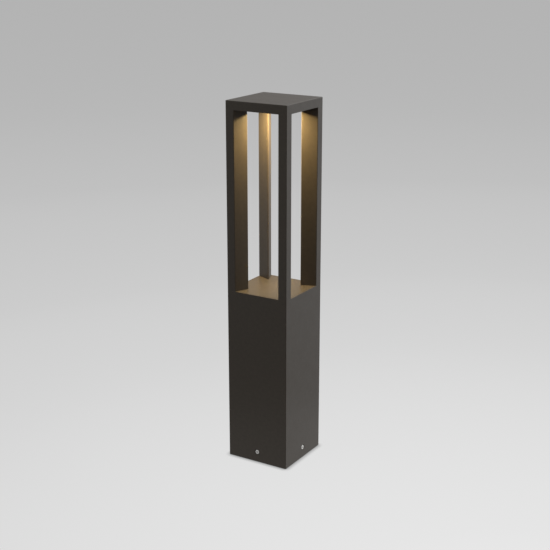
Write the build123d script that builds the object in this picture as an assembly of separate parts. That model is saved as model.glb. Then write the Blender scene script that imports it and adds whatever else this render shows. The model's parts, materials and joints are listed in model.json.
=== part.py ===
"""Square LED bollard light for gardens and paths, 120 x 120 x 650 mm.

A square aluminium column stands over a steel ground plate and is locked to it by one screw in each face.
Four corner posts of kite-shaped section rise from a flush deck and carry a flat head. The head holds a
small round LED behind glass, which lights the posts and the deck from above. The driver and the supply
terminals hang on a tray under the deck, inside the column.

Frame: millimetres, +Z up, origin at the centre of the ground plate's underside. The front face is at -Y.
Every function below makes one physical piece, or one group of identical fasteners.
"""

from build123d import *
from math import cos, radians, sin
import os

# ---------------------------------------------------------------- driving dimensions
SIDE = 120.0  # outer width of the column, the posts and the head
HEIGHT = 650.0
DECK_TOP = 316.0  # sill of the four windows
HEAD_UNDERSIDE = 634.0  # lintel of the four windows
WALL = 3.0  # column and head skirt
EDGE_RADIUS = 1.0  # outer vertical edges

POST_LEG = 16.0  # width of a post on each outer face
POST_APEX = 27.5  # sharp inner point of the kite, from each outer face
POST_TIP_RADIUS = 1.0

COLUMN_FOOT = 1.0  # the column's walls stop this far above the ground
LOCK_SCREW_Z = 19.2

# ---------------------------------------------------------------- derived and secondary sizes
HALF = SIDE / 2
INNER = HALF - WALL  # half width of the column's bore
SLIP = 0.2  # gap round an inset plate
TAP = 0.05  # radial gap between a screw and its thread
CUT = 1.0  # a cutting tool runs this far past the face it opens

M4_R = 2.0
M4_CLEAR_R = 2.25
M4_CAP_HEAD_R = 3.5
M4_CAP_HEAD_H = 4.0
M4_SOCKET = 3.0  # across flats
M3_R = 1.5
M3_CLEAR_R = 1.7
M3_BUTTON_HEAD_R = 2.75
M3_BUTTON_HEAD_H = 1.65
M3_SOCKET = 2.0
SCREW_POINT = 0.4

# bores in the post section, each measured from both outer faces
KEY_RECESS_IN = 8.2
WIRE_CHANNEL_IN = 14.6
SCREW_PORT_IN = 20.4
KEY_XY = HALF - KEY_RECESS_IN
CHANNEL_XY = HALF - WIRE_CHANNEL_IN
PORT_XY = HALF - SCREW_PORT_IN
KEY_RECESS_R = 3.6
KEY_RECESS_DEPTH = 2.4
WIRE_CHANNEL_R = 3.0
PORT_DEPTH = 12.0
PORT_SCREW_GRIP = 10.0

# ground plate and column
PLATE_HALF = INNER - SLIP
PLATE_T = 5.0
LUG_T = 4.0
LUG_WIDTH = 26.0
LUG_TOP = 32.0
LUG_CHAMFER = 4.0
ANCHOR_PITCH = 80.0
ANCHOR_R = 4.5
CABLE_HOLE_R = 15.0
GROMMET_BORE_R = 12.0
GROMMET_LIP_R = 18.0
GROMMET_LIP_T = 2.0
PORT_BLOCK = 9.5  # side of the screw port in each corner of the column
LOCK_HEAD_R = 4.0
LOCK_HEAD_H = 2.0
LOCK_SOCKET = 2.5
LOCK_RECESS_R = 5.0
LOCK_SCREW_GRIP = 10.0

# deck
DECK_T = 8.0
DECK_BOTTOM = DECK_TOP - DECK_T
DECK_HALF = INNER - SLIP
SEAL_GROOVE_DEPTH = 1.6
SEAL_GROOVE_Z = (DECK_BOTTOM + 1.6, DECK_BOTTOM + 4.2)
KEY_COUNTERBORE = 2.0  # the heads stand proud by the rest and key the posts
DECK_SCREW_LENGTH = 16.0
SLEEVE_R = 3.6

# head
HEAD_TOP_T = 3.0
CEILING_T = 4.5
CEILING_TOP = HEAD_UNDERSIDE + CEILING_T
HEAD_CORNER_R = 2.0
HEAD_SEAL_T = 0.8
HEAD_SEAL_INNER = 53.4
SHOULDER_HALF = 53.0
CAP_INSIDE_TOP = HEIGHT - HEAD_TOP_T
CAP_BOSS_OFFSET = 48.4
CAP_BOSS_R = 4.8
CAP_SCREW_LENGTH = 10.0

# light source
HEAT_BOSS_R = 26.0
HEAT_BOSS_H = 2.5
THERMAL_PAD_R = 23.5
THERMAL_PAD_T = 0.5
BOARD_R = 24.0
BOARD_T = 1.6
BOARD_TOP = CAP_INSIDE_TOP - HEAT_BOSS_H - THERMAL_PAD_T
BOARD_BOTTOM = BOARD_TOP - BOARD_T
BOARD_SCREW_RING_R = 20.0
BOARD_SCREW_ANGLES = (60, 180, 300)
CHIP_CARRIER = 19.0
CHIP_CARRIER_T = 0.7
EMITTER_R = 7.25
EMITTER_T = 0.4

# light opening
APERTURE_R = 27.0
GLASS_R = 31.0
GLASS_T = 2.5
GLASS_SEAL_T = 0.8
GLASS_POCKET_R = GLASS_R + 0.3
GLASS_POCKET_TOP = HEAD_UNDERSIDE + GLASS_T + GLASS_SEAL_T
BEZEL_R = 40.0
BEZEL_T = 2.0
BEZEL_SCREW_RING_R = 35.8
BEZEL_SCREW_ANGLES = (30, 150, 270)
REFLECTOR_R = 30.0
REFLECTOR_NECK_R = 14.0
REFLECTOR_NECK_H = 0.6
REFLECTOR_SCREW_R = 3.1  # clears the board screws' heads
REFLECTOR_NOTCH = 6.0  # width of the way for the cores

# gear tray: the driver and the terminal box stand on its +Y face. Their y values here and in their
# functions are counted from that face, which is set back so that the supply gland is on the axis.
TRAY_T = 2.0
TRAY_HALF_WIDTH = 40.0
TRAY_BOTTOM = 78.0
TRAY_FLANGE_Y = 28.0
TRAY_SCREW_X = (-30.0, 30.0)
DRIVER_HALF_WIDTH = 22.0
DRIVER_DEPTH = 26.0
DRIVER_Z = (166.0, 256.0)
DRIVER_EAR = 11.0
DRIVER_EAR_T = 3.0
BOX_HALF_WIDTH = 30.0
BOX_DEPTH = 32.0
BOX_Z = (92.0, 150.0)
BOX_WALL = 2.0
BOX_LID_T = 3.0
BOX_BOSS_R = 3.6
BOX_BOSS_X = 25.0
BOX_BOSS_Z = (97.0, 145.0)
BOX_SCREW_X = 20.0
BOX_SCREW_Z = 121.0
TERMINAL_X = (-8.0, 0.0, 8.0)
TERMINAL_Y = 9.0
TERMINAL_Z = (112.0, 130.0)
TERMINAL_HALF_WIDTH = 13.0
TERMINAL_DEPTH = 14.0
TERMINAL_BORE_R = 1.6
TERMINAL_SCREW_INSET = 4.0
EARTH_XZ = (20.0, 105.0)
EARTH_LUG_T = 0.8
EARTH_LUG_R = 3.4
EARTH_TAIL = 7.5
GLAND_Y = 16.0
TRAY_FACE_Y = -GLAND_Y
GLAND_BORE_R = 5.0
GLAND_THREAD_R = 9.9
GLAND_FLATS = 24.0
GLAND_THREAD_T = 8.0
GLAND_HEX_T = 7.0
GLAND_NECK_R = 9.0
GLAND_NECK_T = 8.0
GLAND_SEAL_R = 6.8
GLAND_CAP_T = 6.0
GLAND_CAP_GAP = 0.5
GLAND_NOSE = (8.5, 11.5, 4.0)  # radii at its two ends, height
GLAND_NUT_T = 4.0
BOX_GROMMET_R = 3.6
BOX_GROMMET_LIP = 1.0

# wiring
LEAD_R = 2.2
CORE_R = 0.8
LED_LEAD_Z = 642.6
LEAD_BEND_R = 3.2
LED_CORE_Z = BOARD_BOTTOM - CORE_R
LED_LEAD_END_R = 34.0
LED_LEAD_X = -10.0
LED_LEAD_RISE = (12.0, 36.0)  # the two bends' heights over the driver
CORE_PAIR = 1.1  # each core's offset from the middle of its lead
SHEATH_IN_BOX = 7.0

CORNERS = ((-1, -1), (1, -1), (1, 1), (-1, 1))
SIDES = (0, 90, 180, 270)


# ---------------------------------------------------------------- helpers
def block(x0, x1, y0, y1, z0, z1):
    """Box between two corners."""
    return Pos((x0 + x1) / 2, (y0 + y1) / 2, (z0 + z1) / 2) * Box(x1 - x0, y1 - y0, z1 - z0)


def rod(x, y, z0, z1, r):
    """Upright cylinder."""
    return Pos(x, y, (z0 + z1) / 2) * Cylinder(r, z1 - z0)


def rod_y(x, z, y0, y1, r):
    """Cylinder along Y."""
    return Pos(x, (y0 + y1) / 2, z) * Rot(90, 0, 0) * Cylinder(r, y1 - y0)


def square_bar(half, z0, z1, corner_r):
    """Upright square bar with rounded vertical edges."""
    return Pos(0, 0, z0) * extrude(RectangleRounded(2 * half, 2 * half, corner_r), z1 - z0)


def hex_bar(x, y, z0, z1, across_flats):
    """Upright hexagonal bar."""
    bar = extrude(RegularPolygon(across_flats / 2, 6, major_radius=False), z1 - z0)
    return Pos(x, y, z0) * bar


def corner_places(xy):
    """The four points (+-xy, +-xy)."""
    return [(sx * xy, sy * xy) for sx, sy in CORNERS]


def ring_places(r, angles):
    """Points on a circle round the axis."""
    return [(r * cos(radians(a)), r * sin(radians(a))) for a in angles]


def drill(shape, places, z0, z1, r):
    """Upright round holes."""
    for x, y in places:
        shape = shape - rod(x, y, z0, z1, r)
    return shape


def group(solids):
    """Separate solids that share one node."""
    return Compound([s.solid() for s in solids])


def flat_head_screw(r, length):
    """Flat-head screw, its face at z = 0 and its tip at z = -length."""
    head_h = r + 0.3
    profile = [
        (0, 0),
        (2 * r, 0),
        (2 * r, -0.3),
        (r, -head_h),
        (r, -length + SCREW_POINT),
        (r - SCREW_POINT, -length),
        (0, -length),
    ]
    screw = revolve(Plane.XZ * make_face(Polyline(*profile, close=True)), Axis.Z)
    return screw - Pos(0, 0, -0.6 * r) * hex_bar(0, 0, 0, r, 1.25 * r)


def flat_head_cut(r, depth):
    """Clearance for a flat-head screw whose face is at z = 0."""
    profile = [
        (0, 0.01),
        (2 * r + 0.1, 0.01),
        (2 * r + 0.1, -0.3 - TAP),
        (r + 0.25, -r - 0.2),
        (r + 0.25, -depth),
        (0, -depth),
    ]
    return revolve(Plane.XZ * make_face(Polyline(*profile, close=True)), Axis.Z)


def cap_screw(length, head_r=M4_CAP_HEAD_R, head_h=M4_CAP_HEAD_H, socket=M4_SOCKET):
    """M4 socket screw with a flat-topped head, its seat at z = 0 and the shank below."""
    head = chamfer(Cylinder(head_r, head_h).edges().sort_by(Axis.Z)[-1], SCREW_POINT)
    shank = chamfer(Cylinder(M4_R, length).edges().sort_by(Axis.Z)[0], SCREW_POINT)
    screw = Pos(0, 0, head_h / 2) * head + Pos(0, 0, -length / 2) * shank
    return screw - hex_bar(0, 0, head_h * 0.45, head_h + CUT, socket)


def button_screw(r, head_r, head_h, length, socket):
    """Button-head screw, its seat at z = 0, the dome above and the shank below."""
    top_r = head_r * 0.42
    tip = -length + SCREW_POINT
    profile = Polyline((0, head_h), (0, -length), (r - SCREW_POINT, -length), (r, tip), (r, 0))
    profile += Polyline((r, 0), (head_r, 0), (head_r, head_h * 0.15))
    mid = (0.84 * head_r, head_h * 0.68)
    profile += ThreePointArc((head_r, head_h * 0.15), mid, (top_r, head_h))
    profile += Line((top_r, head_h), (0, head_h))
    screw = revolve(Plane.XZ * make_face(profile), Axis.Z)
    return screw - hex_bar(0, 0, head_h * 0.35, head_h + CUT, socket)


def m3_button_screw(length):
    return button_screw(M3_R, M3_BUTTON_HEAD_R, M3_BUTTON_HEAD_H, length, M3_SOCKET)


# ---------------------------------------------------------------- ground plate and column
def make_ground_plate():
    plate = square_bar(PLATE_HALF, 0, PLATE_T, EDGE_RADIUS)
    plate = drill(plate, corner_places(ANCHOR_PITCH / 2), -CUT, PLATE_T + CUT, ANCHOR_R)
    return drill(plate, [(0, 0)], -CUT, PLATE_T + CUT, CABLE_HOLE_R)


def make_lock_lugs():
    """Four tapped lugs welded onto the ground plate, close inside the column's walls."""
    lug = block(-LUG_WIDTH / 2, LUG_WIDTH / 2, PLATE_HALF - LUG_T, PLATE_HALF, PLATE_T, LUG_TOP)
    lug = chamfer(lug.edges().filter_by(Axis.Y).sort_by(Axis.Z)[-2:], LUG_CHAMFER)
    lug -= rod_y(0, LOCK_SCREW_Z, PLATE_HALF - LUG_T - CUT, PLATE_HALF + CUT, M4_R + TAP)
    return group([Rot(0, 0, angle) * lug for angle in SIDES])


def make_cable_grommet():
    body = rod(0, 0, 0, PLATE_T, CABLE_HOLE_R)
    body += rod(0, 0, PLATE_T, PLATE_T + GROMMET_LIP_T, GROMMET_LIP_R)
    body = fillet(body.edges().filter_by(GeomType.CIRCLE).sort_by(Axis.Z)[-1], 0.8)
    return drill(body, [(0, 0)], -CUT, PLATE_T + GROMMET_LIP_T + CUT, GROMMET_BORE_R)


def make_column():
    tube = square_bar(HALF, COLUMN_FOOT, DECK_TOP, EDGE_RADIUS)
    tube -= block(-INNER, INNER, -INNER, INNER, 0, DECK_TOP + CUT)
    inside = INNER - PORT_BLOCK
    port = block(inside, INNER + CUT, inside, INNER + CUT, PLATE_T, DECK_BOTTOM)
    port -= rod(KEY_XY, KEY_XY, PLATE_T - CUT, DECK_BOTTOM + CUT, M4_R + TAP)
    seat = rod_y(0, LOCK_SCREW_Z, INNER - CUT, HALF + CUT, M4_CLEAR_R)
    seat += rod_y(0, LOCK_SCREW_Z, HALF - LOCK_HEAD_H, HALF + CUT, LOCK_RECESS_R)
    for angle in SIDES:
        tube += Rot(0, 0, angle) * port
        tube -= Rot(0, 0, angle) * seat
    return tube


def make_lock_screws():
    screw = cap_screw(LOCK_SCREW_GRIP, LOCK_HEAD_R, LOCK_HEAD_H, LOCK_SOCKET)
    placed = Pos(0, -(HALF - LOCK_HEAD_H), LOCK_SCREW_Z) * Rot(90, 0, 0) * screw
    return group([Rot(0, 0, angle) * placed for angle in SIDES])


# ---------------------------------------------------------------- deck
def make_deck():
    deck = square_bar(DECK_HALF, DECK_BOTTOM, DECK_TOP, EDGE_RADIUS)
    z0, z1 = SEAL_GROOVE_Z
    floor = DECK_HALF - SEAL_GROOVE_DEPTH
    deck -= square_bar(HALF, z0, z1, EDGE_RADIUS) - square_bar(floor, z0, z1, EDGE_RADIUS)
    below = DECK_BOTTOM - CUT
    above = DECK_TOP + CUT
    deck = drill(deck, corner_places(KEY_XY), below, above, M4_CLEAR_R)
    deck = drill(deck, corner_places(KEY_XY), DECK_TOP - KEY_COUNTERBORE, above, M4_CAP_HEAD_R + 0.2)
    deck = drill(deck, corner_places(PORT_XY), below, above, M4_CLEAR_R)
    deck = drill(deck, [(-CHANNEL_XY, CHANNEL_XY)], below, above, SLEEVE_R)
    return drill(deck, [(x, 0) for x in TRAY_SCREW_X], below, DECK_TOP - 2, M4_R + TAP)


def make_deck_seal():
    z0, z1 = SEAL_GROOVE_Z
    floor = DECK_HALF - SEAL_GROOVE_DEPTH
    return square_bar(INNER, z0, z1, 0.5) - square_bar(floor, z0, z1, EDGE_RADIUS)


def make_deck_screws():
    screw = cap_screw(DECK_SCREW_LENGTH)
    seat = DECK_TOP - KEY_COUNTERBORE
    return group([Pos(x, y, seat) * screw for x, y in corner_places(KEY_XY)])


def make_post_foot_screws():
    screw = Rot(180, 0, 0) * cap_screw(DECK_T + PORT_SCREW_GRIP)
    return group([Pos(x, y, DECK_BOTTOM) * screw for x, y in corner_places(PORT_XY)])


def make_deck_sleeve():
    sleeve = rod(-CHANNEL_XY, CHANNEL_XY, DECK_BOTTOM, DECK_TOP, SLEEVE_R)
    return sleeve - rod(-CHANNEL_XY, CHANNEL_XY, DECK_BOTTOM - CUT, DECK_TOP + CUT, LEAD_R + TAP)


# ---------------------------------------------------------------- posts
def post_section():
    """Kite section in the front left corner: two outer legs and an inner point on the diagonal."""
    outline = Polyline(
        (-HALF, -HALF),
        (-HALF + POST_LEG, -HALF),
        (-HALF + POST_APEX, -HALF + POST_APEX),
        (-HALF, -HALF + POST_LEG),
        close=True,
    )
    kite = make_face(outline)
    corners = kite.vertices().sort_by(Axis((0, 0, 0), (1, 1, 0)))
    kite = fillet(corners[0], EDGE_RADIUS)
    corners = kite.vertices().sort_by(Axis((0, 0, 0), (1, 1, 0)))
    kite = fillet(corners[-1], POST_TIP_RADIUS)
    legs = [v for v in kite.vertices() if abs(abs(v.X - v.Y) - POST_LEG) < 0.01]
    return fillet(legs, EDGE_RADIUS)


def make_post(angle):
    post = Pos(0, 0, DECK_TOP) * extrude(post_section(), HEAD_UNDERSIDE - DECK_TOP)
    post -= rod(-CHANNEL_XY, -CHANNEL_XY, DECK_TOP - CUT, HEAD_UNDERSIDE + CUT, WIRE_CHANNEL_R)
    post -= rod(-KEY_XY, -KEY_XY, DECK_TOP - CUT, DECK_TOP + KEY_RECESS_DEPTH, KEY_RECESS_R)
    foot_end = DECK_TOP + PORT_DEPTH
    head_end = HEAD_UNDERSIDE - PORT_DEPTH
    post -= rod(-PORT_XY, -PORT_XY, DECK_TOP - CUT, foot_end, M4_R + TAP)
    post -= rod(-PORT_XY, -PORT_XY, head_end, HEAD_UNDERSIDE + CUT, M4_R + TAP)
    return Rot(0, 0, angle) * post


# ---------------------------------------------------------------- head
def make_ceiling_plate():
    plate = square_bar(DECK_HALF, HEAD_UNDERSIDE, CEILING_TOP, HEAD_CORNER_R)
    below = HEAD_UNDERSIDE - CUT
    above = CEILING_TOP + CUT
    plate = drill(plate, [(0, 0)], below, above, APERTURE_R)
    plate = drill(plate, [(0, 0)], below, GLASS_POCKET_TOP, GLASS_POCKET_R)
    plate = drill(plate, [(-CHANNEL_XY, CHANNEL_XY)], below, above, SLEEVE_R)
    for x, y in corner_places(PORT_XY):
        plate -= Pos(x, y, CEILING_TOP) * flat_head_cut(M4_R, CEILING_T + CUT)
    cut = Rot(180, 0, 0) * flat_head_cut(M3_R, CEILING_T + CUT)
    for angle in SIDES:
        plate -= Rot(0, 0, angle) * Pos(0, CAP_BOSS_OFFSET, HEAD_UNDERSIDE) * cut
    screws = ring_places(BEZEL_SCREW_RING_R, BEZEL_SCREW_ANGLES)
    return drill(plate, screws, below, CEILING_TOP - 1, M3_R + TAP)


def make_post_head_screws():
    screw = flat_head_screw(M4_R, CEILING_T + PORT_SCREW_GRIP)
    return group([Pos(x, y, CEILING_TOP) * screw for x, y in corner_places(PORT_XY)])


def make_ceiling_grommet():
    body = rod(-CHANNEL_XY, CHANNEL_XY, HEAD_UNDERSIDE, CEILING_TOP, SLEEVE_R)
    body += rod(-CHANNEL_XY, CHANNEL_XY, CEILING_TOP, CEILING_TOP + 0.8, SLEEVE_R + 0.5)
    return body - rod(-CHANNEL_XY, CHANNEL_XY, HEAD_UNDERSIDE - CUT, HEIGHT, LEAD_R + TAP)


def make_head_seal():
    z1 = CEILING_TOP + HEAD_SEAL_T
    ring = square_bar(DECK_HALF, CEILING_TOP, z1, HEAD_CORNER_R)
    return ring - square_bar(HEAD_SEAL_INNER, CEILING_TOP - CUT, z1 + CUT, HEAD_CORNER_R)


def make_head_cap():
    cap = square_bar(HALF, HEAD_UNDERSIDE, HEIGHT, EDGE_RADIUS)
    cap = fillet(cap.faces().sort_by(Axis.Z)[-1].edges(), EDGE_RADIUS)
    shoulder = CEILING_TOP + HEAD_SEAL_T
    cap -= square_bar(INNER, HEAD_UNDERSIDE - CUT, shoulder, HEAD_CORNER_R)
    cap -= square_bar(SHOULDER_HALF, shoulder - CUT, CAP_INSIDE_TOP, HEAD_CORNER_R)
    cap += rod(0, 0, CAP_INSIDE_TOP - HEAT_BOSS_H, CAP_INSIDE_TOP + CUT, HEAT_BOSS_R)
    boss = rod(0, CAP_BOSS_OFFSET, CEILING_TOP, CAP_INSIDE_TOP + CUT, CAP_BOSS_R)
    boss_top = HEAD_UNDERSIDE + CAP_SCREW_LENGTH + 1
    thread = rod(0, CAP_BOSS_OFFSET, CEILING_TOP - CUT, boss_top, M3_R + TAP)
    for angle in SIDES:
        cap += Rot(0, 0, angle) * boss
        cap -= Rot(0, 0, angle) * thread
    screws = ring_places(BOARD_SCREW_RING_R, BOARD_SCREW_ANGLES)
    return drill(cap, screws, BOARD_TOP, HEIGHT - 1.5, M3_R + TAP)


def make_head_screws():
    screw = Rot(180, 0, 0) * flat_head_screw(M3_R, CAP_SCREW_LENGTH)
    placed = Pos(0, CAP_BOSS_OFFSET, HEAD_UNDERSIDE) * screw
    return group([Rot(0, 0, angle) * placed for angle in SIDES])


# ---------------------------------------------------------------- light source
def make_thermal_pad():
    z0 = BOARD_TOP
    z1 = BOARD_TOP + THERMAL_PAD_T
    pad = rod(0, 0, z0, z1, THERMAL_PAD_R)
    screws = ring_places(BOARD_SCREW_RING_R, BOARD_SCREW_ANGLES)
    return drill(pad, screws, z0 - CUT, z1 + CUT, M3_CLEAR_R)


def make_led_board():
    board = rod(0, 0, BOARD_BOTTOM, BOARD_TOP, BOARD_R)
    screws = ring_places(BOARD_SCREW_RING_R, BOARD_SCREW_ANGLES)
    return drill(board, screws, BOARD_BOTTOM - 1, BOARD_TOP + 1, M3_CLEAR_R)


def make_chip_carrier():
    c = CHIP_CARRIER / 2
    return block(-c, c, -c, c, BOARD_BOTTOM - CHIP_CARRIER_T, BOARD_BOTTOM)


def make_emitter():
    z1 = BOARD_BOTTOM - CHIP_CARRIER_T
    return rod(0, 0, z1 - EMITTER_T, z1, EMITTER_R)


def make_board_screws():
    screw = Rot(180, 0, 0) * m3_button_screw(5.5)
    places = ring_places(BOARD_SCREW_RING_R, BOARD_SCREW_ANGLES)
    return group([Pos(x, y, BOARD_BOTTOM) * screw for x, y in places])


def make_reflector():
    ring = rod(0, 0, CEILING_TOP, BOARD_BOTTOM, REFLECTOR_R)
    neck = BOARD_BOTTOM - REFLECTOR_NECK_H
    ring -= rod(0, 0, neck, BOARD_BOTTOM + CUT, REFLECTOR_NECK_R)
    height = neck - CEILING_TOP
    ring -= Pos(0, 0, CEILING_TOP + height / 2) * Cone(APERTURE_R, REFLECTOR_NECK_R, height)
    screws = ring_places(BOARD_SCREW_RING_R, BOARD_SCREW_ANGLES)
    ring = drill(ring, screws, CEILING_TOP - CUT, BOARD_BOTTOM + CUT, REFLECTOR_SCREW_R)
    side = REFLECTOR_NOTCH / 2
    floor = LED_CORE_Z - 1.5 * CORE_R
    notch = block(REFLECTOR_NECK_R - CUT, REFLECTOR_R + CUT, -side, side, floor, BOARD_BOTTOM + CUT)
    return ring - Rot(0, 0, 135) * notch


# ---------------------------------------------------------------- light opening
def make_glass_seal():
    z0 = GLASS_POCKET_TOP - GLASS_SEAL_T
    ring = rod(0, 0, z0, GLASS_POCKET_TOP, GLASS_R)
    return drill(ring, [(0, 0)], z0 - CUT, GLASS_POCKET_TOP + CUT, APERTURE_R + 0.5)


def make_glass():
    disc = rod(0, 0, HEAD_UNDERSIDE, HEAD_UNDERSIDE + GLASS_T, GLASS_R)
    return chamfer(disc.edges().filter_by(GeomType.CIRCLE), 0.3)


def make_bezel():
    z0 = HEAD_UNDERSIDE - BEZEL_T
    ring = rod(0, 0, z0, HEAD_UNDERSIDE, BEZEL_R)
    ring = chamfer(ring.edges().filter_by(GeomType.CIRCLE).sort_by(Axis.Z)[0], 0.6)
    ring = drill(ring, [(0, 0)], z0 - CUT, HEAD_UNDERSIDE + CUT, APERTURE_R)
    for x, y in ring_places(BEZEL_SCREW_RING_R, BEZEL_SCREW_ANGLES):
        ring -= Pos(x, y, z0) * Rot(180, 0, 0) * flat_head_cut(M3_R, BEZEL_T + CUT)
    return ring


def make_bezel_screws():
    screw = Rot(180, 0, 0) * flat_head_screw(M3_R, 5.0)
    places = ring_places(BEZEL_SCREW_RING_R, BEZEL_SCREW_ANGLES)
    return group([Pos(x, y, HEAD_UNDERSIDE - BEZEL_T) * screw for x, y in places])


# ---------------------------------------------------------------- gear tray, driver and terminal box
def make_gear_tray():
    w = TRAY_HALF_WIDTH
    tray = block(-w, w, -TRAY_T, 0, TRAY_BOTTOM, DECK_BOTTOM)
    tray += block(-w, w, -TRAY_T, TRAY_FLANGE_Y, DECK_BOTTOM - TRAY_T, DECK_BOTTOM)
    screws = [(x, GLAND_Y) for x in TRAY_SCREW_X]
    tray = drill(tray, screws, DECK_BOTTOM - TRAY_T - CUT, DECK_BOTTOM + CUT, M4_CLEAR_R)
    for z in driver_screw_heights():
        tray -= rod_y(0, z, -TRAY_T - CUT, CUT, M3_R + TAP)
    for x in (-BOX_SCREW_X, BOX_SCREW_X):
        tray -= rod_y(x, BOX_SCREW_Z, -TRAY_T - CUT, CUT, M3_R + TAP)
    return tray - rod_y(EARTH_XZ[0], EARTH_XZ[1], -TRAY_T - CUT, CUT, M4_R + TAP)


def make_tray_screws():
    screw = Rot(180, 0, 0) * cap_screw(TRAY_T + 5.5)
    return group([Pos(x, GLAND_Y, DECK_BOTTOM - TRAY_T) * screw for x in TRAY_SCREW_X])


def driver_screw_heights():
    return (DRIVER_Z[0] - DRIVER_EAR / 2, DRIVER_Z[1] + DRIVER_EAR / 2)


def make_driver():
    w = DRIVER_HALF_WIDTH
    z0, z1 = DRIVER_Z
    case = block(-w, w, 0, DRIVER_DEPTH, z0, z1)
    case = fillet(case.edges().filter_by(Axis.Z).sort_by(Axis.Y)[-2:], 3)
    case += block(-w, w, 0, DRIVER_EAR_T, z0 - DRIVER_EAR, z1 + DRIVER_EAR)
    for z in driver_screw_heights():
        case -= rod_y(0, z, -CUT, DRIVER_EAR_T + CUT, M3_CLEAR_R)
    return case


def make_driver_screws():
    screw = Rot(-90, 0, 0) * m3_button_screw(DRIVER_EAR_T + TRAY_T + 1)
    return group([Pos(0, DRIVER_EAR_T, z) * screw for z in driver_screw_heights()])


def make_terminal_box():
    w = BOX_HALF_WIDTH
    z0, z1 = BOX_Z
    t = BOX_WALL
    box = fillet(block(-w, w, 0, BOX_DEPTH, z0, z1).edges().filter_by(Axis.Y), 3)
    box -= block(-w + t, w - t, t, BOX_DEPTH + CUT, z0 + t, z1 - t)
    for x in (-BOX_BOSS_X, BOX_BOSS_X):
        for z in BOX_BOSS_Z:
            box += rod_y(x, z, t / 2, BOX_DEPTH, BOX_BOSS_R)
            box -= rod_y(x, z, BOX_DEPTH - 9, BOX_DEPTH + CUT, M3_R + TAP)
    for x in (-BOX_SCREW_X, BOX_SCREW_X):
        box -= rod_y(x, BOX_SCREW_Z, -CUT, t + CUT, M3_CLEAR_R)
    box -= rod_y(EARTH_XZ[0], EARTH_XZ[1], -CUT, t + CUT, M4_CLEAR_R)
    box -= rod(0, GLAND_Y, z0 - CUT, z0 + t + CUT, GLAND_THREAD_R + TAP)
    return box - rod(0, GLAND_Y, z1 - t - CUT, z1 + CUT, BOX_GROMMET_R)


def make_box_screws():
    screw = Rot(-90, 0, 0) * m3_button_screw(BOX_WALL + TRAY_T + 1)
    return group([Pos(x, BOX_WALL, BOX_SCREW_Z) * screw for x in (-BOX_SCREW_X, BOX_SCREW_X)])


def make_box_lid():
    w = BOX_HALF_WIDTH
    y1 = BOX_DEPTH + BOX_LID_T
    lid = block(-w, w, BOX_DEPTH, y1, BOX_Z[0], BOX_Z[1])
    lid = fillet(lid.edges().filter_by(Axis.Y), 3)
    for x in (-BOX_BOSS_X, BOX_BOSS_X):
        for z in BOX_BOSS_Z:
            lid -= rod_y(x, z, BOX_DEPTH - CUT, y1 + CUT, M3_CLEAR_R)
    return lid


def make_lid_screws():
    screw = Rot(-90, 0, 0) * m3_button_screw(BOX_LID_T + 7)
    places = [(x, z) for x in (-BOX_BOSS_X, BOX_BOSS_X) for z in BOX_BOSS_Z]
    return group([Pos(x, BOX_DEPTH + BOX_LID_T, z) * screw for x, z in places])


def terminal_screw_heights():
    return (TERMINAL_Z[0] + TERMINAL_SCREW_INSET, TERMINAL_Z[1] - TERMINAL_SCREW_INSET)


def make_terminal_block():
    w = TERMINAL_HALF_WIDTH
    z0, z1 = TERMINAL_Z
    face = BOX_WALL + TERMINAL_DEPTH
    body = block(-w, w, BOX_WALL, face, z0, z1)
    for x in TERMINAL_X:
        body -= rod(x, TERMINAL_Y, z0 - CUT, z1 + CUT, TERMINAL_BORE_R)
        for z in terminal_screw_heights():
            body -= rod_y(x, z, TERMINAL_Y, face + CUT, TERMINAL_BORE_R)
    return body


def make_terminal_screws():
    """Slotted clamp screws, their faces 1 mm inside the block."""
    face = BOX_WALL + TERMINAL_DEPTH - 1
    screw = rod_y(0, 0, TERMINAL_Y + CORE_R, face, TERMINAL_BORE_R - TAP)
    screw -= block(-2, 2, face - 0.8, face + CUT, -0.3, 0.3)
    return group([Pos(x, 0, z) * screw for x in TERMINAL_X for z in terminal_screw_heights()])


def make_earth_lug():
    x, z = EARTH_XZ
    y0 = BOX_WALL
    y1 = BOX_WALL + EARTH_LUG_T
    lug = rod_y(x, z, y0, y1, EARTH_LUG_R) + block(x - EARTH_TAIL, x, y0, y1, z - 1.2, z + 1.2)
    return lug - rod_y(x, z, y0 - CUT, y1 + CUT, M4_CLEAR_R)


def make_earth_screw():
    length = BOX_WALL + EARTH_LUG_T + TRAY_T + 1.5
    screw = Rot(-90, 0, 0) * button_screw(M4_R, EARTH_LUG_R, 2.0, length, LOCK_SOCKET)
    return Pos(EARTH_XZ[0], BOX_WALL + EARTH_LUG_T, EARTH_XZ[1]) * screw


# ---------------------------------------------------------------- supply gland
def make_gland_body():
    wall = BOX_Z[0]
    hex_z = wall - GLAND_HEX_T
    end = hex_z - GLAND_NECK_T
    body = hex_bar(0, GLAND_Y, hex_z, wall, GLAND_FLATS)
    body += rod(0, GLAND_Y, wall, wall + GLAND_THREAD_T, GLAND_THREAD_R)
    body += rod(0, GLAND_Y, end, hex_z, GLAND_NECK_R)
    body -= rod(0, GLAND_Y, end - CUT, wall + GLAND_THREAD_T + CUT, GLAND_BORE_R)
    return body - rod(0, GLAND_Y, end - CUT, hex_z, GLAND_SEAL_R)


def make_gland_seal():
    z1 = BOX_Z[0] - GLAND_HEX_T
    z0 = z1 - GLAND_NECK_T
    return rod(0, GLAND_Y, z0, z1, GLAND_SEAL_R) - rod(0, GLAND_Y, z0 - CUT, z1 + CUT, GLAND_BORE_R)


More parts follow.
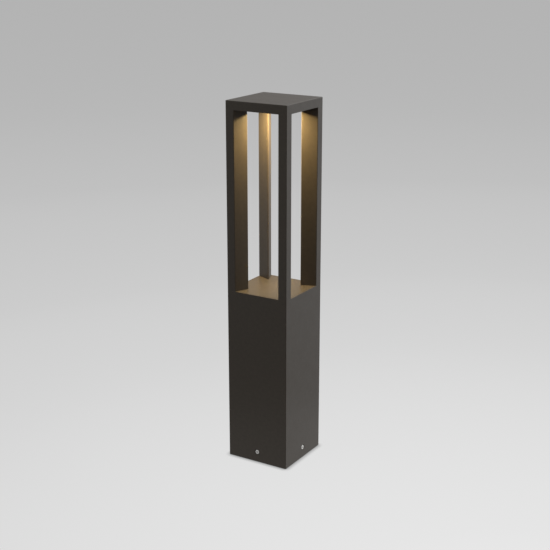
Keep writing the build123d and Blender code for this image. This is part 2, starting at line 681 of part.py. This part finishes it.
def make_gland_cap():
    """Hexagonal cap with a conical nose, screwed over the neck."""
    z1 = BOX_Z[0] - GLAND_HEX_T - GLAND_CAP_GAP
    nose_r, root_r, nose_h = GLAND_NOSE
    cap = hex_bar(0, GLAND_Y, z1 - GLAND_CAP_T, z1, GLAND_FLATS)
    cap += Pos(0, GLAND_Y, z1 - GLAND_CAP_T - nose_h / 2) * Cone(nose_r, root_r, nose_h)
    neck_end = z1 + GLAND_CAP_GAP - GLAND_NECK_T
    cap -= rod(0, GLAND_Y, neck_end, z1 + CUT, GLAND_NECK_R + TAP)
    return cap - rod(0, GLAND_Y, z1 - GLAND_CAP_T - nose_h - CUT, z1 + CUT, GLAND_BORE_R)


def make_gland_nut():
    z0 = BOX_Z[0] + BOX_WALL
    z1 = z0 + GLAND_NUT_T
    nut = hex_bar(0, GLAND_Y, z0, z1, GLAND_FLATS)
    return nut - rod(0, GLAND_Y, z0 - CUT, z1 + CUT, GLAND_THREAD_R + TAP)


def make_box_grommet():
    z1 = BOX_Z[1]
    z0 = z1 - BOX_WALL
    lip = BOX_GROMMET_LIP
    body = rod(0, GLAND_Y, z0, z1, BOX_GROMMET_R)
    body += rod(0, GLAND_Y, z1, z1 + lip, BOX_GROMMET_R + lip)
    body += rod(0, GLAND_Y, z0 - lip, z0, BOX_GROMMET_R + lip)
    return body - rod(0, GLAND_Y, z0 - 2 * lip, z1 + 2 * lip, LEAD_R + TAP)


# ---------------------------------------------------------------- wiring
def rod_along(path, r):
    """Round rod along a path."""
    return sweep(Plane(origin=path @ 0, z_dir=path % 0) * Circle(r), path=path)


def make_led_lead():
    c = CHANNEL_XY
    end = LED_LEAD_END_R / 2**0.5
    y = TRAY_FACE_Y + DRIVER_DEPTH / 2
    path = FilletPolyline(
        (LED_LEAD_X, y, DRIVER_Z[1]),
        (LED_LEAD_X, y, DRIVER_Z[1] + LED_LEAD_RISE[0]),
        (-c, c, DRIVER_Z[1] + LED_LEAD_RISE[1]),
        (-c, c, LED_LEAD_Z),
        (-end, end, LED_LEAD_Z),
        radius=LEAD_BEND_R,
    )
    return rod_along(path, LEAD_R)


def make_led_cores():
    length = LED_LEAD_END_R - REFLECTOR_NECK_R - 3
    x = LED_LEAD_END_R - length / 2
    core = Rot(0, 90, 0) * Cylinder(CORE_R, length)
    places = [Pos(x, y, LED_CORE_Z) * core for y in (-CORE_PAIR, CORE_PAIR)]
    return group([Rot(0, 0, 135) * p for p in places])


def make_supply_lead():
    """Short sheathed lead between the terminal box and the driver."""
    return rod(0, GLAND_Y, BOX_Z[1] - SHEATH_IN_BOX, DRIVER_Z[0], LEAD_R)


def make_supply_cores():
    z1 = BOX_Z[1] - SHEATH_IN_BOX
    z0 = TERMINAL_Z[1]
    cores = []
    for x, dx in ((TERMINAL_X[0], -CORE_PAIR), (TERMINAL_X[1], CORE_PAIR)):
        path = FilletPolyline(
            (dx, GLAND_Y, z1),
            (dx, GLAND_Y, z1 - 4),
            (x, TERMINAL_Y, z0 + 3),
            (x, TERMINAL_Y, z0 - 5),
            radius=3,
        )
        cores.append(rod_along(path, CORE_R))
    return group(cores)


def make_earth_lead():
    """Bare core from the third terminal down to the lug's tail."""
    x, z = EARTH_XZ
    y = BOX_WALL + EARTH_LUG_T + CORE_R
    path = FilletPolyline(
        (TERMINAL_X[2], TERMINAL_Y, TERMINAL_Z[0] + 5),
        (TERMINAL_X[2], TERMINAL_Y, z),
        (x - 8.5, y, z),
        (x - 5.5, y, z),
        radius=2,
    )
    return rod_along(path, CORE_R)


# ---------------------------------------------------------------- export
ON_TRAY = {
    "gear_tray": make_gear_tray(),
    "gear_tray_screws": make_tray_screws(),
    "driver": make_driver(),
    "driver_screws": make_driver_screws(),
    "terminal_box": make_terminal_box(),
    "terminal_box_screws": make_box_screws(),
    "terminal_box_lid": make_box_lid(),
    "terminal_box_lid_screws": make_lid_screws(),
    "terminal_block": make_terminal_block(),
    "terminal_block_screws": make_terminal_screws(),
    "earth_lug": make_earth_lug(),
    "earth_screw": make_earth_screw(),
    "gland_body": make_gland_body(),
    "gland_seal": make_gland_seal(),
    "gland_cap": make_gland_cap(),
    "gland_nut": make_gland_nut(),
    "terminal_box_grommet": make_box_grommet(),
    "driver_supply_lead": make_supply_lead(),
    "driver_supply_cores": make_supply_cores(),
    "earth_lead": make_earth_lead(),
}

PARTS = {
    "ground_plate": make_ground_plate(),
    "lock_lugs": make_lock_lugs(),
    "cable_grommet": make_cable_grommet(),
    "column": make_column(),
    "lock_screws": make_lock_screws(),
    "deck": make_deck(),
    "deck_seal": make_deck_seal(),
    "deck_screws": make_deck_screws(),
    "deck_sleeve": make_deck_sleeve(),
    "post_front_left": make_post(0),
    "post_front_right": make_post(90),
    "post_back_right": make_post(180),
    "post_back_left": make_post(270),
    "post_foot_screws": make_post_foot_screws(),
    "post_head_screws": make_post_head_screws(),
    "ceiling_plate": make_ceiling_plate(),
    "ceiling_grommet": make_ceiling_grommet(),
    "head_seal": make_head_seal(),
    "head_cap": make_head_cap(),
    "head_screws": make_head_screws(),
    "thermal_pad": make_thermal_pad(),
    "led_board": make_led_board(),
    "led_chip_carrier": make_chip_carrier(),
    "led_emitter": make_emitter(),
    "led_board_screws": make_board_screws(),
    "reflector": make_reflector(),
    "glass_seal": make_glass_seal(),
    "glass": make_glass(),
    "bezel": make_bezel(),
    "bezel_screws": make_bezel_screws(),
    "led_lead": make_led_lead(),
    "led_lead_cores": make_led_cores(),
}
PARTS |= {name: Pos(0, TRAY_FACE_Y, 0) * shape for name, shape in ON_TRAY.items()}

os.makedirs("parts", exist_ok=True)
for name, shape in PARTS.items():
    shape.label = name
    export_step(shape, f"parts/{name}.step")
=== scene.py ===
"""Looks of the square LED bollard light: materials, the lamp's own light, stage, soft lights and camera.

Everything is in metres, in the frame's axes: +Z up, the front face at -Y, the ground at z = 0.
"""

import json
import math

import bpy
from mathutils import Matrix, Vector


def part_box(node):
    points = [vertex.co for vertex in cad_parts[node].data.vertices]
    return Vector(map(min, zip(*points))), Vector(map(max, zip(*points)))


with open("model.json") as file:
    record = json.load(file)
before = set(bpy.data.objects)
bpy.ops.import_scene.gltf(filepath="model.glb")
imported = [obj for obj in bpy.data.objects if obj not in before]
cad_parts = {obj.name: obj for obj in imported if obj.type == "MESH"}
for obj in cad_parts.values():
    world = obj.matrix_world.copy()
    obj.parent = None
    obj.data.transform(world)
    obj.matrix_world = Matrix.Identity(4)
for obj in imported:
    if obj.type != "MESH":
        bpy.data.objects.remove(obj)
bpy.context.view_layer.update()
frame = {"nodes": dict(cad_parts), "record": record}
NODES = frame["nodes"]
MM = 0.001

# ---------------------------------------------------------------- camera
VIEW_AZIMUTH = 31.47  # degrees from the front, towards +X
VIEW_ELEVATION = 16.81  # degrees
VIEW_DISTANCE = 2.0095
VIEW_TARGET = (0.0007, 0.0004, 0.3381)
LENS = 74.32  # mm
SENSOR_WIDTH = 36  # mm

# ---------------------------------------------------------------- stage
STAGE_RADIUS = 7.0
STAGE_WALL = 5.0  # height of the wall's top
BEND_RADIUS = 3.0  # between floor and wall
BEND_STEPS = 24
STAGE_STEPS = 96  # round the cove

# The pool of light on the floor, towards the camera: distance from its middle, grey.
POOL_CENTRE = (0.61, -0.33, 0.0)
POOL_FALL = ((0.3, 0.787), (1.06, 0.686), (1.72, 0.607), (3.0, 0.529), (6.5, 0.45))
POOL_REACH = 7.0
CONTACT_SHADOW_REACH = 0.010  # width of the painted contact shadow round the foot

# ---------------------------------------------------------------- lights
LAMP_COLOUR = (1.0, 0.76, 0.35)
LAMP_GAP = 0.2 * MM  # from the chip's face to the light
# The chip's flood and the narrower beam that its reflector adds: watts of light, spread in degrees.
LAMP_BEAMS = (("flood", 2.85, 162), ("beam", 0.032, 28))

BOUNCE_RADIUS = 0.25
BOUNCE_HEIGHT = 0.5 * MM
BOUNCE_POWER = 0.12  # watts of light

# Broad soft lights on the sky: azimuth from +X towards +Y, elevation, sharpness, strength.
SOFT_LIGHTS = (
    (0, 90, 1.5, 1.41),  # overhead
    (60, 35, 4, 1.52),  # high, behind and to the right
    (60, 0, 4, 0.79),  # low, behind and to the right
    (180, 0, 4, 0.57),  # left
    (-120, 0, 4, 0.37),  # weak fill from the front left
    (0, 0, 4, 0.11),  # weak fill from the right
)


# ---------------------------------------------------------------- node helpers
class Shader:
    """A Principled material under construction, which starts plain and gains detail from its methods."""

    def __init__(self, name, colour, roughness, metallic=0.0):
        self.material = bpy.data.materials.new(name)
        self.material.use_nodes = True
        self.tree = self.material.node_tree
        self.bsdf = self.tree.nodes["Principled BSDF"]
        self.bsdf.inputs["Base Color"].default_value = (*colour, 1)
        self.bsdf.inputs["Roughness"].default_value = roughness
        self.bsdf.inputs["Metallic"].default_value = metallic
        self.coords = self.tree.nodes.new("ShaderNodeTexCoord").outputs["Object"]

    def constants(self, **values):
        """Values on the shader's own sockets, with _ for a space in their names."""
        for key, value in values.items():
            self.bsdf.inputs[key.replace("_", " ")].default_value = value

    def link(self, output, target):
        self.tree.links.new(output, target)

    def stretched(self, scale):
        """Object coordinates scaled along each axis."""
        node = self.tree.nodes.new("ShaderNodeMapping")
        node.inputs["Scale"].default_value = scale
        self.link(self.coords, node.inputs["Vector"])
        return node.outputs["Vector"]

    def noise(self, size, detail=3.0, coords=None):
        """Noise with features of about size metres."""
        node = self.tree.nodes.new("ShaderNodeTexNoise")
        node.inputs["Scale"].default_value = 1 / size
        node.inputs["Detail"].default_value = detail
        self.link(coords or self.coords, node.inputs["Vector"])
        return node.outputs["Fac"]

    def ramp(self, source, low, high, start=0.3, end=0.7):
        """Two colours over a range of source."""
        node = self.tree.nodes.new("ShaderNodeValToRGB")
        node.color_ramp.elements[0].position = start
        node.color_ramp.elements[0].color = (*low, 1)
        node.color_ramp.elements[1].position = end
        node.color_ramp.elements[1].color = (*high, 1)
        self.link(source, node.inputs["Fac"])
        return node.outputs["Color"]

    def span(self, source, low, high):
        """source from 0..1 to low..high."""
        node = self.tree.nodes.new("ShaderNodeMapRange")
        node.inputs["To Min"].default_value = low
        node.inputs["To Max"].default_value = high
        self.link(source, node.inputs["Value"])
        return node.outputs["Result"]

    def colour(self, source, low, high, start=0.3, end=0.7):
        """Base colour between two colours, over a range of source."""
        self.link(self.ramp(source, low, high, start, end), self.bsdf.inputs["Base Color"])

    def rough(self, source, low, high):
        """Roughness from low to high."""
        self.link(self.span(source, low, high), self.bsdf.inputs["Roughness"])

    def bump(self, source, depth, strength=1.0, under=None):
        """Relief of about depth metres, on top of another relief or of rounded edges."""
        node = self.tree.nodes.new("ShaderNodeBump")
        node.inputs["Strength"].default_value = strength
        node.inputs["Distance"].default_value = depth
        self.link(source, node.inputs["Height"])
        if under:
            self.link(under, node.inputs["Normal"])
        self.link(node.outputs["Normal"], self.bsdf.inputs["Normal"])
        return node.outputs["Normal"]

    def soft_edges(self, radius):
        """Normals that catch the light round each edge, as a thick coat does."""
        node = self.tree.nodes.new("ShaderNodeBevel")
        node.inputs["Radius"].default_value = radius
        self.link(node.outputs["Normal"], self.bsdf.inputs["Normal"])
        return node.outputs["Normal"]

    def paint_crevice_shade(self, reach):
        """Painted shade: darkens the base colour where another surface is nearer than about reach metres.
        """
        source = self.bsdf.inputs["Base Color"].links[0].from_socket
        node = self.tree.nodes.new("ShaderNodeAmbientOcclusion")
        node.inputs["Distance"].default_value = reach
        self.link(source, node.inputs["Color"])
        self.link(node.outputs["Color"], self.bsdf.inputs["Base Color"])


def scaled(colour, factor):
    """The colour, lighter or darker."""
    return tuple(min(1.0, c * factor) for c in colour)


# ---------------------------------------------------------------- materials
def powder_coat():
    """Dark bronze-grey polyester powder: satin, with orange peel, a fine grain and a faint mottling."""
    base = (0.050, 0.0395, 0.029)
    s = Shader("powder_coat", base, 0.42)
    s.colour(s.noise(0.006, 4), scaled(base, 0.92), scaled(base, 1.08))
    s.rough(s.noise(0.02, 3), 0.36, 0.48)
    rounded = s.soft_edges(0.0006)
    peel = s.bump(s.noise(0.0022, 2), 0.00006, 0.5, rounded)
    s.bump(s.noise(0.0005, 2), 0.00002, 0.5, peel)
    s.constants(IOR=1.5, Specular_IOR_Level=0.4, Diffuse_Roughness=0.4)
    return s.material


def stainless():
    """Stainless steel with a slight warm cast and fine dull specks, with painted shade down in its
    sockets.
    """
    s = Shader("stainless", (0.6, 0.59, 0.57), 0.26, 1.0)
    s.colour(s.noise(0.0012, 3), (0.58, 0.57, 0.55), (0.74, 0.73, 0.71))
    # painted shade in the sockets and recesses
    s.paint_crevice_shade(0.0015)
    s.rough(s.noise(0.0006, 2), 0.22, 0.38)
    rounded = s.soft_edges(0.00025)
    s.bump(s.noise(0.0003, 2), 0.00001, 0.3, rounded)
    return s.material


def zinc_steel():
    """Zinc-plated sheet: a dull sheen with soft spangle and rolling marks."""
    s = Shader("zinc_steel", (0.5, 0.51, 0.53), 0.4, 1.0)
    s.colour(s.noise(0.008, 5), (0.42, 0.43, 0.45), (0.58, 0.59, 0.61))
    s.rough(s.noise(0.001, 2, s.stretched((1, 1, 0.05))), 0.32, 0.5)
    return s.material


def rubber(name, colour, roughness=0.7):
    """Rubber or soft sheath: dull, with a fine skin."""
    s = Shader(name, colour, roughness)
    s.colour(s.noise(0.004, 4), scaled(colour, 0.8), scaled(colour, 1.25))
    s.rough(s.noise(0.003, 3), roughness - 0.08, roughness + 0.1)
    s.bump(s.noise(0.0006, 3), 0.00003, 0.4)
    return s.material


def moulded(name, colour, roughness=0.45):
    """Moulded plastic with a fine spark-eroded grain."""
    s = Shader(name, colour, roughness)
    s.colour(s.noise(0.01, 3), scaled(colour, 0.95), scaled(colour, 1.05))
    s.rough(s.noise(0.004, 2), roughness - 0.06, roughness + 0.06)
    s.bump(s.noise(0.0005, 2), 0.00002, 0.35)
    return s.material


def clear_glass():
    """Thin clear glass with faint smears."""
    s = Shader("clear_glass", (0.92, 0.95, 0.94), 0.03)
    s.rough(s.noise(0.012, 2), 0.02, 0.06)
    s.constants(Alpha=0.12, IOR=1.5)
    return s.material


def phosphor():
    """Chip face: pale yellow phosphor that glows."""
    s = Shader("phosphor", (0.9, 0.66, 0.2), 0.6)
    s.colour(s.noise(0.001, 2), (0.85, 0.6, 0.16), (0.95, 0.74, 0.26))
    s.constants(Emission_Color=(*LAMP_COLOUR, 1), Emission_Strength=12.0)
    return s.material


def board():
    """Aluminium board under white solder mask, with faint copper shadows."""
    s = Shader("board", (0.8, 0.8, 0.78), 0.35)
    s.colour(s.noise(0.009, 1), (0.74, 0.74, 0.72), (0.84, 0.84, 0.82), 0.45, 0.55)
    s.rough(s.noise(0.002, 2), 0.28, 0.42)
    return s.material


def brass():
    """Brass with slight tarnish."""
    s = Shader("brass", (0.75, 0.55, 0.25), 0.3, 1.0)
    s.colour(s.noise(0.002, 3), (0.66, 0.46, 0.19), (0.8, 0.6, 0.3))
    s.rough(s.noise(0.0008, 2), 0.2, 0.4)
    return s.material


def earth_insulation():
    """Green insulation with a yellow stripe wound along it."""
    s = Shader("earth_insulation", (0.1, 0.4, 0.06), 0.4)
    wave = s.tree.nodes.new("ShaderNodeTexWave")
    wave.inputs["Scale"].default_value = 160
    wave.inputs["Distortion"].default_value = 0.5
    s.link(s.coords, wave.inputs["Vector"])
    s.colour(wave.outputs["Fac"], (0.08, 0.36, 0.05), (0.85, 0.72, 0.05), 0.45, 0.55)
    return s.material


def finishes():
    """One material for each of the record's slots."""
    return {
        "coat": powder_coat(),
        "zinc_steel": zinc_steel(),
        "stainless": stainless(),
        "seal_rubber": rubber("seal_rubber", (0.02, 0.02, 0.02)),
        "silicone": rubber("silicone", (0.6, 0.59, 0.56), 0.5),
        "pad": rubber("heat_pad", (0.34, 0.35, 0.38), 0.75),
        "board": board(),
        "carrier": moulded("carrier", (0.84, 0.84, 0.81), 0.3),
        "emitter": phosphor(),
        "reflector_white": moulded("reflector_white", (0.86, 0.86, 0.84), 0.25),
        "glass": clear_glass(),
        "driver_case": moulded("driver_case", (0.62, 0.62, 0.6)),
        "box_grey": moulded("box_grey", (0.27, 0.28, 0.29), 0.5),
        "terminal": moulded("terminal", (0.7, 0.69, 0.64), 0.4),
        "gland": moulded("gland", (0.028, 0.028, 0.03), 0.5),
        "brass": brass(),
        "lead": rubber("lead_sheath", (0.025, 0.025, 0.026), 0.5),
        "core": moulded("core_insulation", (0.32, 0.06, 0.03), 0.4),
        "earth_core": earth_insulation(),
    }


def dress_nodes():
    """Gives every CAD node the finish of its slot."""
    by_slot = finishes()
    for part in frame["record"]["subparts"]:
        mesh = NODES[part["node"]].data
        mesh.materials.clear()
        mesh.materials.append(by_slot[part["material_slot"]])


# ---------------------------------------------------------------- lamp
def light_lamp():
    """The chip's light: discs just under the phosphor, facing down."""
    low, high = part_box("led_emitter")
    for name, power, spread in LAMP_BEAMS:
        data = bpy.data.lights.new("lamp_" + name, "AREA")
        data.shape = "DISK"
        data.size = high[0] - low[0]
        data.energy = power
        data.color = LAMP_COLOUR
        data.spread = math.radians(spread)
        lamp = bpy.data.objects.new("lamp_" + name, data)
        lamp.location = (0, 0, low[2] - LAMP_GAP)
        bpy.context.collection.objects.link(lamp)


# ---------------------------------------------------------------- studio
def light_from_floor():
    """The pale floor throws light back up at the foot of the column."""
    data = bpy.data.lights.new("floor_bounce", "AREA")
    data.shape = "DISK"
    data.size = 2 * BOUNCE_RADIUS
    data.energy = BOUNCE_POWER
    bounce = bpy.data.objects.new("floor_bounce", data)
    bounce.location = (0, 0, BOUNCE_HEIGHT)
    bounce.rotation_euler = (math.pi, 0, 0)
    bounce.visible_camera = False
    bpy.context.collection.objects.link(bounce)


def stage_profile():
    """Radius and height along the stage, outwards from its flat floor: round bend, upright wall."""
    flat = STAGE_RADIUS - BEND_RADIUS
    points = [(flat, 0.0)]
    for i in range(1, BEND_STEPS + 1):
        angle = math.radians(90) * i / BEND_STEPS
        points.append((flat + BEND_RADIUS * math.sin(angle), BEND_RADIUS - BEND_RADIUS * math.cos(angle)))
    points.append((STAGE_RADIUS, STAGE_WALL))
    return points


def build_stage():
    """A round cove: the same pale ground and wall from every side."""
    verts, faces = [(0, 0, 0)], []
    profile = stage_profile()
    for r, z in profile:
        for i in range(STAGE_STEPS):
            a = 2 * math.pi * i / STAGE_STEPS
            verts.append((r * math.cos(a), r * math.sin(a), z))
    for i in range(STAGE_STEPS):
        faces.append((0, 1 + i, 1 + (i + 1) % STAGE_STEPS))
    for ring in range(len(profile) - 1):
        inner, outer = 1 + ring * STAGE_STEPS, 1 + (ring + 1) * STAGE_STEPS
        for i in range(STAGE_STEPS):
            j = (i + 1) % STAGE_STEPS
            faces.append((inner + i, outer + i, outer + j, inner + j))
    mesh = bpy.data.meshes.new("stage")
    mesh.from_pydata(verts, [], faces)
    for face in mesh.polygons:
        face.use_smooth = True
    stage = bpy.data.objects.new("stage", mesh)
    bpy.context.collection.objects.link(stage)
    mesh.materials.append(stage_paper())
    # Only the camera sees the stage: the soft lights and the bounce light the object in its stead.
    stage.visible_diffuse = False
    stage.visible_glossy = False
    stage.visible_transmission = False
    stage.visible_shadow = False


def stage_paper():
    """Glowing pale paper: brightest in a painted pool of light before the object, with a painted contact
    shadow round the foot.
    """
    material = bpy.data.materials.new("stage_paper")
    material.use_nodes = True
    material.cycles.emission_sampling = "NONE"
    nodes, links = material.node_tree.nodes, material.node_tree.links
    nodes.clear()
    coords = nodes.new("ShaderNodeTexCoord")
    distance = nodes.new("ShaderNodeVectorMath")
    distance.operation = "DISTANCE"
    distance.inputs[1].default_value = POOL_CENTRE
    links.new(coords.outputs["Object"], distance.inputs[0])
    share = nodes.new("ShaderNodeMath")
    share.operation = "DIVIDE"
    share.inputs[1].default_value = POOL_REACH
    links.new(distance.outputs["Value"], share.inputs[0])
    # painted pool of light: the glow fades away from the pool's middle
    fall = nodes.new("ShaderNodeValToRGB")
    fall.color_ramp.interpolation = "CARDINAL"
    stops = fall.color_ramp.elements
    while len(stops) < len(POOL_FALL):
        stops.new(1.0)
    for stop, (reach, grey) in zip(stops, POOL_FALL):
        stop.position = reach / POOL_REACH
        stop.color = (grey, grey, grey, 1)
    links.new(share.outputs["Value"], fall.inputs["Fac"])
    # painted contact shadow: the glow darkens round the foot
    painted_contact_shadow = nodes.new("ShaderNodeAmbientOcclusion")
    painted_contact_shadow.inputs["Distance"].default_value = CONTACT_SHADOW_REACH
    links.new(fall.outputs["Color"], painted_contact_shadow.inputs["Color"])
    glow = nodes.new("ShaderNodeEmission")
    links.new(painted_contact_shadow.outputs["Color"], glow.inputs["Color"])
    output = nodes.new("ShaderNodeOutputMaterial")
    links.new(glow.outputs["Emission"], output.inputs["Surface"])
    return material


def toward(azimuth, elevation):
    """Unit vector to a place on the sky."""
    a, e = math.radians(azimuth), math.radians(elevation)
    return Vector((math.cos(a) * math.cos(e), math.sin(a) * math.cos(e), math.sin(e)))


def light_studio():
    """The world: each soft light is a round glow on the sky, fading from its middle."""
    world = bpy.data.worlds.new("studio")
    bpy.context.scene.world = world
    world.use_nodes = True
    nodes, links = world.node_tree.nodes, world.node_tree.links

    def math_node(operation, value, other):
        node = nodes.new("ShaderNodeMath")
        node.operation = operation
        links.new(value, node.inputs[0])
        if isinstance(other, (int, float)):
            node.inputs[1].default_value = other
        else:
            links.new(other, node.inputs[1])
        return node.outputs["Value"]

    coords = nodes.new("ShaderNodeTexCoord")
    total = None
    for azimuth, elevation, sharpness, strength in SOFT_LIGHTS:
        facing = nodes.new("ShaderNodeVectorMath")
        facing.operation = "DOT_PRODUCT"
        facing.inputs[1].default_value = toward(azimuth, elevation)
        links.new(coords.outputs["Generated"], facing.inputs[0])
        glow = math_node("MAXIMUM", facing.outputs["Value"], 0.0)
        glow = math_node("MULTIPLY", math_node("POWER", glow, sharpness), strength)
        total = glow if total is None else math_node("ADD", total, glow)
    links.new(total, nodes["Background"].inputs["Strength"])
    nodes["Background"].inputs["Color"].default_value = (1, 1, 1, 1)


def place_camera():
    """The camera, looking at its target from the front right."""
    data = bpy.data.cameras.new("camera")
    data.lens = LENS
    data.sensor_width = SENSOR_WIDTH
    camera = bpy.data.objects.new("camera", data)
    a, e = math.radians(VIEW_AZIMUTH), math.radians(VIEW_ELEVATION)
    back = Vector((math.sin(a) * math.cos(e), -math.cos(a) * math.cos(e), math.sin(e)))
    camera.location = Vector(VIEW_TARGET) + back * VIEW_DISTANCE
    camera.rotation_euler = (-back).to_track_quat("-Z", "Y").to_euler()
    bpy.context.collection.objects.link(camera)
    bpy.context.scene.camera = camera


bpy.context.scene.view_settings.view_transform = "Standard"
place_camera()
dress_nodes()
light_lamp()
build_stage()
light_studio()
light_from_floor()
